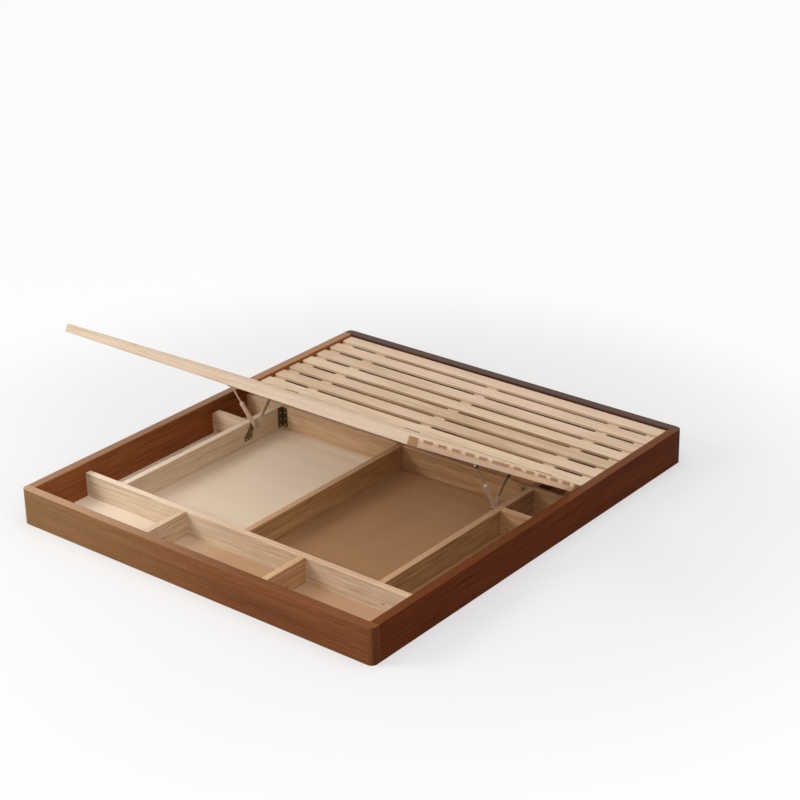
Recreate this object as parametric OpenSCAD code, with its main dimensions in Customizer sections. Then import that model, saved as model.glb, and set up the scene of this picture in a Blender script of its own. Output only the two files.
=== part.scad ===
// Low platform bed with a storage carcass inside its frame. The head third of the bed is a
// fixed slatted deck. The rest is a slatted lid, hinged to the deck and lifted by two gas
// springs. Millimetres: X runs across the bed, Y from foot to head, Z up. The origin is on
// the floor under the middle of the frame. The lid is drawn fully open.

/* [Outer frame] */
// Width over the two side rails
bed_w = 1880; // [1600:10:2100]
// Length over the foot rail and the head rail
bed_l = 2120; // [2060:10:2250]
// Height of the outer rails above the floor
rail_h = 160; // [150:1:200]
// Thickness of the outer rails
rail_t = 42; // [36:1:50]
// Radius of the frame's four vertical corners
corner_r = 26; // [10:1:32]
// Radius that eases the top edges of the rails
rail_ease = 3; // [1:0.5:5]

/* [Slatted decks] */
// Depth of the decks below the top of the rails
deck_drop = 12; // [6:1:25]
// Gap between the decks and the side rails
side_gap = 3; // [2:0.5:6]
// Length of the fixed deck
deck_l = 653; // [620:1:700]
// Gap between the fixed deck and the head rail
head_gap = 2; // [1:0.5:5]
// Hand gap between the closed lid and the foot rail
hand_gap = 70; // [40:1:110]
// Slats in each panel, counting its thick end boards
panel_slats = 7; // [6:1:8]
// Joint between the two panels of the lid
panel_joint = 1; // [0.5:0.5:3]
// Width of a slat
slat_w = 66; // [54:1:72]
// Thickness of a slat
slat_t = 14; // [12:1:20]
// Radius that eases the long edges of the slats
slat_ease = 2; // [1:0.5:4]
// Radius of the corners at the ends of the slats
slat_end_r = 6; // [2:1:10]
// Width of the bearers under the ends of the slats
bearer_w = 67; // [50:1:80]
// Width of the battens under the middle of the slats
batten_w = 57; // [46:1:60]
// How far the outer battens lie over the long boards
batten_lap = 4.5; // [1:0.5:8]
// Thickness of the bearers and battens
bearer_t = 20; // [18:1:28]

/* [Storage carcass] */
// Thickness of the carcass boards
board_t = 30; // [24:1:34]
// Radius that eases the top edges of the carcass boards
board_ease = 2; // [1:0.5:4]
// Clear length of the foot bays
foot_bay = 280; // [200:5:320]
// Distance of each foot divider from the middle of the bed
foot_divider_x = 322; // [250:2:420]
// Clear width of the side bays
side_bay = 186; // [150:2:220]
// Clear length of the rear compartment of each side bay
rear_bay = 200; // [140:5:400]
// Radius of the outer top corner of the side dividers
divider_r = 22; // [8:1:40]
// Distance from the fixed deck's front edge to the mid cross board
mid_inset = 63; // [40:1:85]
// Width and height of the cleats under the fixed deck
cleat_t = 30; // [20:1:36]
// Height of the cleats under the fixed deck
cleat_h = 40; // [25:1:60]
// Thickness of the floor panels
floor_t = 5; // [4:0.5:8]
// Clearance round a floor panel
panel_gap = 0.5; // [0.3:0.1:0.8]

/* [Finger hole] */
// Width of the finger hole in the left floor panel
finger_w = 54; // [36:1:70]
// Length of the finger hole
finger_l = 94; // [74:1:130]
// Distance from the left rail to the middle of the finger hole
finger_in = 48; // [40:1:80]
// Distance from the middle of the finger hole back to the side divider
finger_back = 252; // [60:2:400]
// Wall of the liner in the finger hole
liner_wall = 1.5; // [1:0.1:2.5]
// Base of the liner in the finger hole
liner_base = 0.8; // [0.5:0.1:1]

/* [Hinges] */
// Gap between the lid and the fixed deck, where the hinges sit
hinge_gap = 10; // [10:0.5:14]
// Length of a hinge
hinge_l = 75; // [50:1:100]
// Height of a hinge leaf
leaf_h = 28; // [20:1:31]
// Thickness of a hinge leaf
leaf_t = 2; // [1.5:0.1:2.5]
// Diameter of a hinge pin
hinge_pin_d = 4; // [3:0.5:5]
// Distance of the outer hinges from the middle of the bed
hinge_x = 700; // [500:5:720]

/* [Lift gear] */
// Angle at which the lid stands open
lid_open = 30.5; // [26:0.5:31.5]
// Distance from the hinge line to the pivot on the carcass
base_back = 289; // [280:1:294]
// Depth of that pivot below the top of the carcass boards
base_drop = 17; // [15:0.5:22]
// Distance from the hinge line to the gas spring's pivot on the lid
spring_back = 467; // [462:1:480]
// Distance from the hinge line to the stay's pivot on the lid
stay_back = 191; // [180:1:200]
// Depth of the lid's pivots below the battens
lid_drop = 13; // [12:0.5:16]
// Diameter of the gas spring's cylinder
tube_d = 20; // [16:1:21]
// Wall of the cylinder
tube_wall = 1.5; // [1:0.1:2]
// Diameter of the gas spring's rod
rod_d = 8; // [6:0.5:9]
// Width of the stay
stay_w = 18; // [16:1:19]
// Diameter of the studs and pins of the lift gear
stud_d = 8; // [6:0.5:8]
// Thickness of the steel plates
plate_t = 3; // [2:0.5:3.5]
// Width of the legs of the joint angles
angle_w = 30; // [24:1:36]
// Diameter of the screws' shanks
screw_d = 4; // [3:0.5:5]
// Depth of the screws in the wood
screw_l = 16; // [10:1:18]

/* [Corner joints] */
// Diameter of the cam nuts
cam_d = 15; // [14:0.5:20]
// Depth of the cam nuts
cam_depth = 13; // [12.5:0.5:16]
// Distance from the end of a side rail to its cam nuts
cam_back = 34; // [26:1:45]
// Height of the cam bolts from the bottom and the top edge
cam_z = 40; // [25:1:50]
// Diameter of the cam bolts
cam_bolt_d = 6; // [5:0.5:6.5]
// Diameter of the corner dowels
dowel_d = 10; // [8:0.5:12]
// Length of the corner dowels
dowel_l = 50; // [30:1:60]

/* [Hidden] */
$fn = 48;
eps = 0.01;           // overshoot of a cut
seat = 0.3;           // gap between a deck and what it rests on
fit = 0.05;           // radial clearance of a running fit
slack = 0.1;          // radial clearance of a hidden fixing in its hole
lap_gap = 0.3;        // side clearance in a cross lap
open_gap = 0.3;       // gap at the open pivots on the lid
sides = [-1, 1];

// The frame's inner faces
inner_x = bed_w / 2 - rail_t;
inner_y = bed_l / 2 - rail_t;

// Heights of the decks
deck_top = rail_h - deck_drop;
slat_z = deck_top - slat_t;
under_z = slat_z - bearer_t;
board_h = under_z - seat;
deck_x = inner_x - side_gap;

// Lengthwise places of the decks
deck_back = inner_y - head_gap;
deck_front = deck_back - deck_l;
lid_rear = deck_front - hinge_gap;
lid_front = -inner_y + hand_gap;
lid_panel_l = (lid_rear - lid_front - panel_joint) / 2;
bearer_x = deck_x - bearer_w / 2;
deck_pitch = (deck_l - slat_w) / (panel_slats - 1);
lid_pitch = (lid_panel_l - slat_w) / (panel_slats - 1);

// Faces of the carcass boards
foot_board_y = -inner_y + foot_bay;
long_y = foot_board_y + board_t;
mid_rear_y = deck_front - mid_inset;
mid_y = mid_rear_y - board_t;
side_divider_y = mid_y - rear_bay - board_t;
long_outer_x = inner_x - side_bay;
long_inner_x = long_outer_x - board_t;
long_xs = [-long_outer_x + board_t / 2, 0, long_outer_x - board_t / 2];

// Hinge line
axis_y = deck_front - hinge_gap / 2;
axis_z = deck_top;
knuckle_r = hinge_gap / 2 - 1;
knuckle_half = hinge_l / 6;
knuckle_gap = 0.3;
leaf_clear = 0.4;     // clearance of a leaf round the other leaf's knuckle
hinge_xs = [-hinge_x, 0, hinge_x];

// Layers of the lift gear, from the long board's inner face towards the middle
gear_gap = 2;         // side gap between the parts of the lift gear
eye_w = 6;            // width of the gas spring's eyes
spring_web_off = 3;   // gap between the upper eye and its bracket
spring_x = long_inner_x - plate_t - gear_gap - tube_d / 2;
stay_x = spring_x - tube_d / 2 - gear_gap - plate_t;
stay_web_x = stay_x + plate_t + gear_gap;
spring_web_x = spring_x + eye_w / 2 + spring_web_off;
batten_x = long_inner_x + batten_lap - batten_w / 2;

// Pivots of the lift gear with the lid closed, as [Y, Z]
base_pivot = [axis_y - base_back, board_h - base_drop];
spring_pivot = [axis_y - spring_back, under_z - lid_drop];
stay_pivot = [axis_y - stay_back, under_z - lid_drop];

// A point of the closed lid once the lid is open
function opened(p) = [
    axis_y + (p[0] - axis_y) * cos(lid_open) + (p[1] - axis_z) * sin(lid_open),
    axis_z - (p[0] - axis_y) * sin(lid_open) + (p[1] - axis_z) * cos(lid_open)
];
function heading(a, b) = atan2(b[1] - a[1], b[0] - a[0]);
spring_open = norm(opened(spring_pivot) - base_pivot);
spring_closed = norm(spring_pivot - base_pivot);
spring_angle = heading(base_pivot, opened(spring_pivot));
stay_open = norm(opened(stay_pivot) - base_pivot);
stay_closed = norm(stay_pivot - base_pivot);
stay_angle = heading(base_pivot, opened(stay_pivot));

// Gas spring, measured from the lower pivot along its axis
eye_r = 8;            // outer radius of the eyes
tube_start = 14;      // lower end of the cylinder
tube_floor = 20;      // bottom of the cylinder's bore
tube_tip = 22;        // from the cylinder's end to the closed upper pivot
guide_l = 6;          // length of the rod guide
crimp = 3;            // chamfer at the ends of the cylinder
piston_l = 8;         // length of the piston
piston_rest = 4;      // from the bore's bottom to the piston with the lid closed
neck_l = 16;          // from the upper pivot to the end of the rod
neck_r = rod_d / 2 + 1.5;
neck_start = eye_r - 1; // from an eye's middle to its neck
tube_end = spring_closed - tube_tip;
rod_start = spring_open - spring_closed + tube_floor + piston_rest;
rod_end = spring_open - neck_l;

// Base bracket outline, measured from its pivot
bracket_r = 12;       // radius round the pivot
bracket_foot = [-53, -9];
bracket_low = -66;    // lower edge
bracket_step = -50;   // lower end of the slanted edge
bracket_hole = [-15, -22];
bracket_hole_r = 4.5;
bracket_screws = [[-43, -57], [-19, -57], [-8, -34]];

// Lid bracket sizes
flange_w = 22;
flange_l = 56;
web_l = 24;
web_r = 10;
head_r = 6;           // radius of a stud's head
head_t = 2;           // thickness of a stud's head
lid_screw_y = [-17, 17];
spring_flange_x = spring_web_x + plate_t - flange_w;
stay_flange_x = stay_web_x;
screw_head_r = screw_d / 2 + 2;
screw_head_t = 2;
screw_tip = 3;        // length of a screw's tapered end

// Joint angles
angle_low = 15;       // from the floor to the angle
angle_top = 4;        // from the angle to the top of the boards
angle_screws = [25, 55, 85];
angle_mid_x = long_inner_x - angle_w * 0.6; // middle of the leg on the mid cross board
angle_mid_y = mid_y - angle_w / 2;          // middle of the leg on the long board

// Corner fixings
cam_axis = 8;         // from the inner face to the bolt's axis
cam_head_r = cam_bolt_d / 2 + 0.5;
cam_head_t = 2;       // half the length of the bolt's head
sleeve_r = cam_bolt_d / 2 + 1;
sleeve_l = 11;
cam_slot = 2;         // width and depth of the cross recess
cam_zs = [cam_z, rail_h - cam_z];
dowel_x = inner_x + rail_t / 2;

// Finger hole
finger_x = -inner_x + finger_in;
finger_y = side_divider_y - finger_back;

// ---- Shared shapes ----

// A rectangle with rounded top corners, lower left corner at the origin
module top_eased(w, h, r) {
    square([w, h - r]);
    translate([r, 0]) square([w - 2 * r, h]);
    for (x = [r, w - r]) translate([x, h - r]) circle(r);
}

// A rectangle with four rounded corners, lower left corner at the origin
module all_eased(w, h, r) {
    translate([0, r]) square([w, h - 2 * r]);
    translate([r, 0]) square([w - 2 * r, h]);
    for (x = [r, w - r], y = [r, h - r]) translate([x, y]) circle(r);
}

// Runs a profile drawn in Y and Z along X
module along_x(x0, x1) {
    translate([x0, 0, 0]) rotate([90, 0, 90]) linear_extrude(x1 - x0) children();
}

// Runs a profile drawn in X and Z along Y
module along_y(y0, y1) {
    translate([0, y1, 0]) rotate([90, 0, 0]) linear_extrude(y1 - y0) children();
}

// A cylinder along X between two planes
module bar_x(x0, x1, r) {
    translate([x0, 0, 0]) rotate([0, 90, 0]) cylinder(h = x1 - x0, r = r);
}

// A cylinder along Y between two planes
module bar_y(y0, y1, r) {
    translate([0, y0, 0]) rotate([-90, 0, 0]) cylinder(h = y1 - y0, r = r);
}

// Turns the closed lid about the hinge line until it stands open
module on_lid() {
    translate([0, axis_y, axis_z]) rotate([-lid_open, 0, 0]) translate([0, -axis_y, -axis_z])
        children();
}

// The same shape on the left side
module left() {
    mirror([1, 0, 0]) children();
}

// ---- Outer frame ----

// Profile of a rail that is eased on its outer edge alone
module outer_eased(w) {
    square([w, rail_h - rail_ease]);
    square([w - rail_ease, rail_h]);
    translate([w - rail_ease, rail_h - rail_ease]) circle(rail_ease);
}

// One end of the foot rail, past the side rail's inner face
module rail_end() {
    corner_x = bed_w / 2 - corner_r;
    translate([0, -inner_y, 0]) rotate([90, 0, 90]) translate([0, 0, inner_x])
        linear_extrude(corner_x - inner_x) mirror([1, 0]) outer_eased(rail_t);
    translate([corner_x, 0, 0]) along_y(-bed_l / 2 + corner_r, -inner_y)
        outer_eased(corner_r);
    translate([corner_x, -bed_l / 2 + corner_r, 0]) rotate([0, 0, -90])
        rotate_extrude(angle = 90) outer_eased(corner_r);
}

// Holes for the corner fixings at both ends of the foot rail
module corner_holes() {
    for (s = sides) {
        for (z = cam_zs) translate([s * (inner_x + cam_axis), 0, z])
            bar_y(-inner_y - sleeve_l - 1, -inner_y + 1, sleeve_r + slack);
        translate([s * dowel_x, 0, rail_h / 2])
            bar_y(-inner_y - dowel_l / 2 - 1, -inner_y + 1, dowel_d / 2 + slack);
    }
}

module foot_rail() {
    color("sienna") difference() {
        union() {
            translate([0, -bed_l / 2, 0]) along_x(-inner_x, inner_x)
                top_eased(rail_t, rail_h, rail_ease);
            rail_end();
            left() rail_end();
        }
        corner_holes();
    }
}

module head_rail() {
    mirror([0, 1, 0]) foot_rail();
}

module right_rail() {
    color("saddlebrown") difference() {
        translate([inner_x, 0, 0]) along_y(-inner_y, inner_y)
            top_eased(rail_t, rail_h, rail_ease);
        for (s = sides) {
            for (z = cam_zs) translate([0, s * (inner_y - cam_back), z]) {
                bar_x(inner_x - 1, inner_x + cam_depth + slack, cam_d / 2 + slack);
                translate([inner_x + cam_axis, 0, 0]) mirror([0, s < 0 ? 1 : 0, 0])
                    bar_y(0, cam_back + 1, sleeve_r + slack);
            }
            translate([dowel_x, s * inner_y, rail_h / 2])
                bar_y(-dowel_l / 2 - 1, dowel_l / 2 + 1, dowel_d / 2 + slack);
        }
    }
}

module left_rail() {
    left() right_rail();
}

module corner_dowels() {
    color("burlywood") for (sx = sides, sy = sides)
        translate([sx * dowel_x, sy * inner_y, rail_h / 2])
            bar_y(-dowel_l / 2, dowel_l / 2, dowel_d / 2);
}

// One bolt, from the cam's middle along +Y into the end rail
module cam_bolt() {
    bar_y(-cam_head_t, cam_head_t, cam_head_r);
    bar_y(-cam_head_t, cam_back + 1, cam_bolt_d / 2);
    bar_y(cam_back, cam_back + sleeve_l, sleeve_r);
}

module cam_bolts() {
    color("silver") for (sx = sides, sy = sides, z = cam_zs)
        translate([sx * (inner_x + cam_axis), sy * (inner_y - cam_back), z])
            mirror([0, sy < 0 ? 1 : 0, 0]) cam_bolt();
}

// One cam nut on the +X side, its face flush with the rail
module cam_nut() {
    difference() {
        bar_x(inner_x, inner_x + cam_depth, cam_d / 2);
        translate([inner_x + cam_axis, 0, 0])
            bar_y(-cam_head_t - slack, cam_d, cam_head_r + slack);
        for (a = [0, 90]) rotate([a, 0, 0])
            translate([inner_x + cam_slot / 2 - eps, 0, 0])
                cube([cam_slot, cam_d * 0.6, cam_slot], center = true);
    }
}

module cam_nuts() {
    color("gray") for (sx = sides, sy = sides, z = cam_zs)
        mirror([sx < 0 ? 1 : 0, 0, 0]) translate([0, sy * (inner_y - cam_back), z])
            mirror([0, sy < 0 ? 1 : 0, 0]) cam_nut();
}

// ---- Storage carcass ----

// An upright board that runs across the bed
module cross_board(x0, x1, y) {
    translate([0, y, 0]) along_x(x0, x1) top_eased(board_t, board_h, board_ease);
}

// An upright board that runs along the bed, its middle at x
module long_board(x, y0, y1) {
    translate([x - board_t / 2, 0, 0]) along_y(y0, y1) top_eased(board_t, board_h, board_ease);
}

// Pilot holes of the base bracket and of the joint angle in the long board, +X side
module long_board_pilots() {
    for (p = bracket_screws)
        translate([0, base_pivot[0] + p[0], base_pivot[1] + p[1]])
            bar_x(long_inner_x - 1, long_inner_x + screw_l + 1, screw_d / 2 + slack);
    for (z = angle_screws)
        translate([0, angle_mid_y, z])
            bar_x(long_inner_x - 1, long_inner_x + screw_l + 1, screw_d / 2 + slack);
}

// Pilot holes of the joint angle in the mid cross board, +X side
module mid_board_pilots() {
    for (z = angle_screws)
        translate([angle_mid_x, 0, z])
            bar_y(mid_y - 1, mid_y + screw_l + 1, screw_d / 2 + slack);
}

// The lower half of the cross lap, cut from a long board
module lap_notch(x) {
    translate([x - board_t, mid_y - lap_gap, -1])
        cube([2 * board_t, board_t + 2 * lap_gap, board_h / 2 + 1]);
}

module foot_cross_board() {
    color("wheat") cross_board(-inner_x, inner_x, foot_board_y);
}

module mid_cross_board() {
    color("wheat") difference() {
        cross_board(-inner_x, inner_x, mid_y);
        for (x = long_xs)
            translate([x - board_t / 2 - lap_gap, mid_y - 1, board_h / 2])
                cube([board_t + 2 * lap_gap, board_t + 2, board_h]);
        mid_board_pilots();
        left() mid_board_pilots();
    }
}

module right_long_board() {
    color("tan") difference() {
        long_board(long_xs[2], long_y, inner_y);
        lap_notch(long_xs[2]);
        long_board_pilots();
    }
}

module left_long_board() {
    left() right_long_board();
}

module middle_long_board() {
    color("tan") difference() {
        long_board(long_xs[1], long_y, inner_y);
        lap_notch(long_xs[1]);
    }
}

module right_foot_divider() {
    color("tan") long_board(foot_divider_x, -inner_y, foot_board_y);
}

module left_foot_divider() {
    left() right_foot_divider();
}

// A short board across the side bay, with its outer top corner rounded
module right_side_divider() {
    color("wheat") intersection() {
        cross_board(long_outer_x, inner_x, side_divider_y);
        translate([long_outer_x, 0, 0]) along_y(side_divider_y - 1, side_divider_y + board_t + 1) {
            square([side_bay, board_h - divider_r]);
            square([side_bay - divider_r, board_h]);
            translate([side_bay - divider_r, board_h - divider_r]) circle(divider_r);
        }
    }
}

module left_side_divider() {
    left() right_side_divider();
}

// Cleats on the head rail, one in each bay
module head_cleats() {
    spans = [[board_t / 2, long_inner_x], [long_outer_x, inner_x]];
    color("burlywood") for (s = sides, span = spans) mirror([s < 0 ? 1 : 0, 0, 0])
        translate([span[0], inner_y - cleat_t, board_h - cleat_h])
            cube([span[1] - span[0], cleat_t, cleat_h]);
}

module side_cleats() {
    color("burlywood") for (s = sides) mirror([s < 0 ? 1 : 0, 0, 0])
        translate([inner_x - cleat_t, deck_front, board_h - cleat_h])
            cube([cleat_t, inner_y - cleat_t - deck_front, cleat_h]);
}

// A floor panel that fills a bay
module floor_panel(x0, x1, y0, y1) {
    translate([x0 + panel_gap, y0 + panel_gap, 0])
        cube([x1 - x0 - 2 * panel_gap, y1 - y0 - 2 * panel_gap, floor_t]);
}

// A flat shape with round ends that runs along Y
module stadium(w, l) {
    square([w, l - w], center = true);
    for (s = sides) translate([0, s * (l - w) / 2]) circle(w / 2);
}

module foot_outer_floors() {
    color("ivory") for (s = sides) mirror([s < 0 ? 1 : 0, 0, 0])
        floor_panel(foot_divider_x + board_t / 2, inner_x, -inner_y, foot_board_y);
}

module foot_middle_floor() {
    edge = foot_divider_x - board_t / 2;
    color("ivory") floor_panel(-edge, edge, -inner_y, foot_board_y);
}

module left_floor() {
    color("ivory") difference() {
        floor_panel(-inner_x, -long_outer_x, long_y, side_divider_y);
        translate([finger_x, finger_y, -1]) linear_extrude(floor_t + 2)
            stadium(finger_w, finger_l);
    }
}

module right_floor() {
    color("ivory") floor_panel(long_outer_x, inner_x, long_y, side_divider_y);
}

module side_rear_floors() {
    color("ivory") for (s = sides) mirror([s < 0 ? 1 : 0, 0, 0])
        floor_panel(long_outer_x, inner_x, side_divider_y + board_t, mid_y);
}

module centre_floors() {
    color("ivory") for (s = sides) mirror([s < 0 ? 1 : 0, 0, 0])
        floor_panel(board_t / 2, long_inner_x, long_y, mid_y);
}

module head_floors() {
    color("ivory") for (s = sides) mirror([s < 0 ? 1 : 0, 0, 0]) {
        floor_panel(board_t / 2, long_inner_x, mid_rear_y, inner_y);
        floor_panel(long_outer_x, inner_x, mid_rear_y, inner_y);
    }
}

// Shallow cup that lines the finger hole
module finger_liner() {
    w = finger_w - 2 * seat;
    l = finger_l - 2 * seat;
    color("black") translate([finger_x, finger_y, 0]) difference() {
        linear_extrude(floor_t) stadium(w, l);
        translate([0, 0, liner_base]) linear_extrude(floor_t)
            stadium(w - 2 * liner_wall, l - 2 * liner_wall);
    }
}

// ---- Slatted decks ----

// A board across the deck whose rear edge is at y, with rounded ends
module deck_board(y, t) {
    intersection() {
        translate([0, y - slat_w, deck_top - t]) along_x(-deck_x, deck_x)
            all_eased(slat_w, t, slat_ease);
        translate([-deck_x, y - slat_w, deck_top - t - 1]) linear_extrude(t + 2)
            all_eased(2 * deck_x, slat_w, slat_end_r);
    }
}

// A bearer or batten along the deck, its middle at x
module bearer(x, w, y0, y1) {
    translate([x - w / 2, y0, under_z]) cube([w, y1 - y0, bearer_t]);
}

module deck_hinge_board() {
    color("moccasin") deck_board(deck_front + slat_w, deck_top - under_z);
}

module deck_slats() {
    color("moccasin") for (i = [1:panel_slats - 1])
        deck_board(deck_front + slat_w + i * deck_pitch, slat_t);
}

module deck_side_bearers() {
    color("burlywood") for (s = sides)
        bearer(s * bearer_x, bearer_w, deck_front + slat_w, deck_back);
}

module deck_battens() {
    color("burlywood") for (x = [-batten_x, 0, batten_x])
        bearer(x, batten_w, deck_front + slat_w, deck_back);
}

module lid_hinge_board() {
    color("moccasin") on_lid() deck_board(lid_rear, deck_top - under_z);
}

module lid_front_board() {
    color("moccasin") on_lid() deck_board(lid_front + slat_w, deck_top - under_z);
}

module lid_rear_slats() {
    color("moccasin") on_lid() for (i = [1:panel_slats - 1])
        deck_board(lid_rear - i * lid_pitch, slat_t);
}

module lid_front_slats() {
    color("moccasin") on_lid() for (i = [1:panel_slats - 1])
        deck_board(lid_front + slat_w + i * lid_pitch, slat_t);
}

module lid_right_bearer() {
    color("burlywood") on_lid()
        bearer(bearer_x, bearer_w, lid_front + slat_w, lid_rear - slat_w);
}

module lid_left_bearer() {
    left() lid_right_bearer();
}

// Pilot holes of a lid bracket's screws in the batten above it
module batten_pilots(pivot_y, x) {
    for (y = lid_screw_y) translate([x, pivot_y + y, under_z - 1])
        cylinder(h = screw_l + 1.5, r = screw_d / 2 + slack);
}

module lid_battens() {
    color("burlywood") on_lid() {
        bearer(0, batten_w, lid_front + slat_w, lid_rear - slat_w);
        for (s = sides) mirror([s < 0 ? 1 : 0, 0, 0]) difference() {
            bearer(batten_x, batten_w, lid_front + slat_w, lid_rear - slat_w);
            batten_pilots(spring_pivot[0], spring_flange_x + flange_w / 2);
            batten_pilots(stay_pivot[0], stay_flange_x + flange_w / 2);
        }
    }
}

// ---- Hinges ----

// A stretch of knuckle round the hinge line
module knuckle(x, x0, x1, r) {
    translate([x, axis_y, axis_z]) bar_x(x0, x1, r);
}

// The deck's leaf carries the two outer knuckles
module hinge_deck_leaves() {
    inner = knuckle_half + knuckle_gap;
    color("silver") for (x = hinge_xs) difference() {
        union() {
            difference() {
                translate([x - hinge_l / 2, deck_front - leaf_t, deck_top - leaf_h])
                    cube([hinge_l, leaf_t, leaf_h]);
                knuckle(x, -inner, inner, knuckle_r + leaf_clear);
            }
            knuckle(x, -hinge_l / 2, -inner, knuckle_r);
            knuckle(x, inner, hinge_l / 2, knuckle_r);
        }
        knuckle(x, -hinge_l, hinge_l, hinge_pin_d / 2 + fit);
    }
}

module hinge_pins() {
    color("gray") for (x = hinge_xs) knuckle(x, -hinge_l / 2, hinge_l / 2, hinge_pin_d / 2);
}

// The lid's leaf carries the middle knuckle
module hinge_lid_leaves() {
    color("silver") on_lid() for (x = hinge_xs) difference() {
        union() {
            difference() {
                translate([x - hinge_l / 2, lid_rear, deck_top - leaf_h])
                    cube([hinge_l, leaf_t, leaf_h]);
                knuckle(x, -hinge_l, -knuckle_half, knuckle_r + leaf_clear);
                knuckle(x, knuckle_half, hinge_l, knuckle_r + leaf_clear);
            }
            knuckle(x, -knuckle_half, knuckle_half, knuckle_r);
        }
        knuckle(x, -hinge_l, hinge_l, hinge_pin_d / 2 + fit);
    }
}

// ---- Lift gear, drawn on the +X side ----

// Flat shape of the base bracket in Y and Z, pivot at the origin
module bracket_outline() {
    circle(bracket_r);
    polygon([[-bracket_r, 0], [bracket_foot[0], bracket_step], [bracket_foot[0], bracket_low],
        [bracket_foot[1], bracket_low], [bracket_r, 0]]);
}

module right_base_bracket() {
    color("lightgray") translate([0, base_pivot[0], base_pivot[1]])
        along_x(long_inner_x - plate_t, long_inner_x) difference() {
            bracket_outline();
            translate(bracket_hole) circle(bracket_hole_r);
            for (p = bracket_screws) translate(p) circle(screw_d / 2 + slack);
        }
}

module left_base_bracket() {
    left() right_base_bracket();
}

// Stud that carries the gas spring between two collars and ends at the stay's slot
module right_pivot_stud() {
    outer_collar = spring_x + eye_w / 2 + seat;
    inner_collar = spring_x - eye_w / 2 - seat;
    color("silver") translate([0, base_pivot[0], base_pivot[1]]) {
        bar_x(stay_x + plate_t + open_gap, long_inner_x - plate_t, stud_d / 2);
        bar_x(outer_collar, long_inner_x - plate_t, head_r);
        bar_x(inner_collar - 2 * head_t, inner_collar, head_r);
    }
}

module left_pivot_stud() {
    left() right_pivot_stud();
}

// Steel angle in the corner between the long board and the mid cross board
module joint_angle() {
    h = board_h - angle_top - angle_low;
    difference() {
        union() {
            translate([long_inner_x - plate_t, mid_y - angle_w, angle_low])
                cube([plate_t, angle_w, h]);
            translate([long_inner_x - angle_w, mid_y - plate_t, angle_low])
                cube([angle_w, plate_t, h]);
        }
        for (z = angle_screws) {
            translate([0, angle_mid_y, z])
                bar_x(long_inner_x - plate_t - 1, long_inner_x + 1, screw_d / 2 + slack);
            translate([angle_mid_x, 0, z])
                bar_y(mid_y - plate_t - 1, mid_y + 1, screw_d / 2 + slack);
        }
    }
}

module joint_angles() {
    color("lightgray") {
        joint_angle();
        left() joint_angle();
    }
}

// Pan-head screw whose head rests on z = 0 and whose shank points down
module screw(grip) {
    rotate_extrude() polygon([[0, -grip], [screw_d / 4, -grip], [screw_d / 2, screw_tip - grip],
        [screw_d / 2, 0], [screw_head_r, 0], [screw_head_r, screw_head_t * 0.4],
        [screw_head_r * 0.7, screw_head_t], [0, screw_head_t]]);
}

module side_screws() {
    grip = plate_t + screw_l;
    for (p = bracket_screws)
        translate([long_inner_x - plate_t, base_pivot[0] + p[0], base_pivot[1] + p[1]])
            rotate([0, -90, 0]) screw(grip);
    for (z = angle_screws) {
        translate([long_inner_x - plate_t, angle_mid_y, z])
            rotate([0, -90, 0]) screw(grip);
        translate([angle_mid_x, mid_y - plate_t, z])
            rotate([90, 0, 0]) screw(grip);
    }
}

module carcass_screws() {
    color("gray") {
        side_screws();
        left() side_screws();
    }
}

// Bracket under a lid batten: a flange and a web with a round lower end
module lid_bracket(pivot, web_x, flange_x) {
    difference() {
        translate([flange_x, pivot[0] - flange_l / 2, under_z - plate_t])
            cube([flange_w, flange_l, plate_t]);
        for (y = lid_screw_y)
            translate([flange_x + flange_w / 2, pivot[0] + y, under_z - plate_t - 1])
                cylinder(h = plate_t + 2, r = screw_d / 2 + slack);
    }
    translate([0, pivot[0], pivot[1]]) along_x(web_x, web_x + plate_t) {
        circle(web_r);
        translate([-web_r, 0]) square([2 * web_r, under_z - pivot[1]]);
    }
}

// The spring's bracket, with the nut that faces away from the spring
module lid_spring_brackets() {
    color("lightgray") on_lid() for (s = sides) mirror([s < 0 ? 1 : 0, 0, 0]) {
        lid_bracket(spring_pivot, spring_web_x, spring_flange_x);
        translate([0, spring_pivot[0], spring_pivot[1]])
            bar_x(spring_web_x + plate_t - eps, spring_web_x + plate_t + head_t, head_r);
    }
}

// The stay's bracket, with the riveted pin that the stay turns on
module lid_stay_brackets() {
    color("lightgray") on_lid() for (s = sides) mirror([s < 0 ? 1 : 0, 0, 0]) {
        lid_bracket(stay_pivot, stay_web_x, stay_flange_x);
        translate([0, stay_pivot[0], stay_pivot[1]]) {
            bar_x(stay_web_x + plate_t - eps, stay_web_x + plate_t + head_t, head_r);
            bar_x(stay_x - seat - eps, stay_web_x + eps, stud_d / 2);
            bar_x(stay_x - seat - head_t, stay_x - seat, head_r);
        }
    }
}

module lid_screws() {
    color("gray") on_lid() for (s = sides) mirror([s < 0 ? 1 : 0, 0, 0])
        for (b = [[spring_pivot[0], spring_flange_x], [stay_pivot[0], stay_flange_x]],
                y = lid_screw_y)
            translate([b[1] + flange_w / 2, b[0] + y, under_z - plate_t])
                mirror([0, 0, 1]) screw(plate_t + screw_l - 1);
}

// Puts a shape that points along +Y on the base pivot, turned to its angle
module from_base(angle) {
    translate([0, base_pivot[0], base_pivot[1]]) rotate([angle, 0, 0]) children();
}

// Round eye across the gas spring's axis
module eye(y, bore) {
    translate([0, y, 0]) difference() {
        bar_x(spring_x - eye_w / 2, spring_x + eye_w / 2, eye_r);
        bar_x(spring_x - eye_w, spring_x + eye_w, bore);
    }
}

// Revolves a profile of radius and length round the gas spring's axis
module spun() {
    translate([spring_x, 0, 0]) rotate([-90, 0, 0]) rotate_extrude() children();
}

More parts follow.
